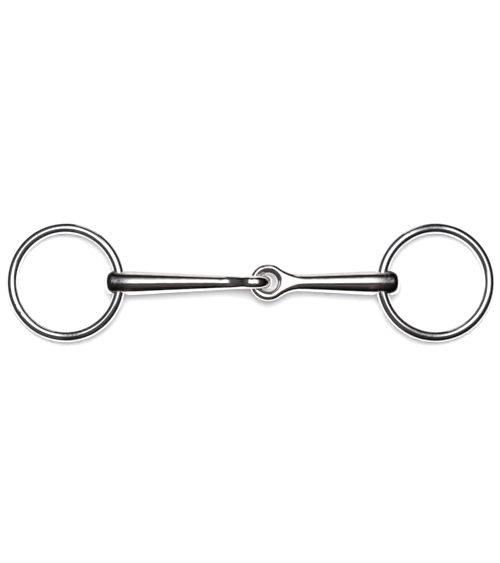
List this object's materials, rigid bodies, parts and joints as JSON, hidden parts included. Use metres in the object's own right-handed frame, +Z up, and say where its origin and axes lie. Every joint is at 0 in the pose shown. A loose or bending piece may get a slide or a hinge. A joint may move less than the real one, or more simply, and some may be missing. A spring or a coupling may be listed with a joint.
{
  "type": "snaffle bit",
  "caption": "Loose ring snaffle bit: tapered steel mouthpiece arms linked eye through eye in the middle, with a round wire ring hung through each butt.",
  "frame": {"origin": "on the axis of the mouthpiece, midway between the two rings", "axes": "+X from the left ring to the right ring along the mouthpiece, +Z up from the surface that the bit lies on, +Y across the rings"},
  "size_m": [0.273, 0.067, 0.021],
  "materials": {
    "ring_steel": "polished stainless steel wire",
    "arm_steel": "polished stainless steel forging"
  },
  "bodies": {
    "left_arm": {"left_arm": "arm_steel"},
    "right_arm": {"right_arm": "arm_steel"},
    "left_ring": {"left_ring": "ring_steel"},
    "right_ring": {"right_ring": "ring_steel"}
  },
  "joints": [
    {"name": "centre_joint", "type": "hinge", "parent": "left_arm", "child": "right_arm", "pos_m": [0.00979, 0, 0], "axis": [0, 0, 1], "range_deg": [-85, 85]},
    {"name": "left_ring_swing", "type": "hinge", "parent": "left_arm", "child": "left_ring", "pos_m": [-0.07358, 0, 0], "axis": [0, 1, 0], "range_deg": [-157, 172]},
    {"name": "right_ring_swing", "type": "hinge", "parent": "right_arm", "child": "right_ring", "pos_m": [0.07358, 0, 0], "axis": [0, -1, 0], "range_deg": [-157, 172]}
  ]
}
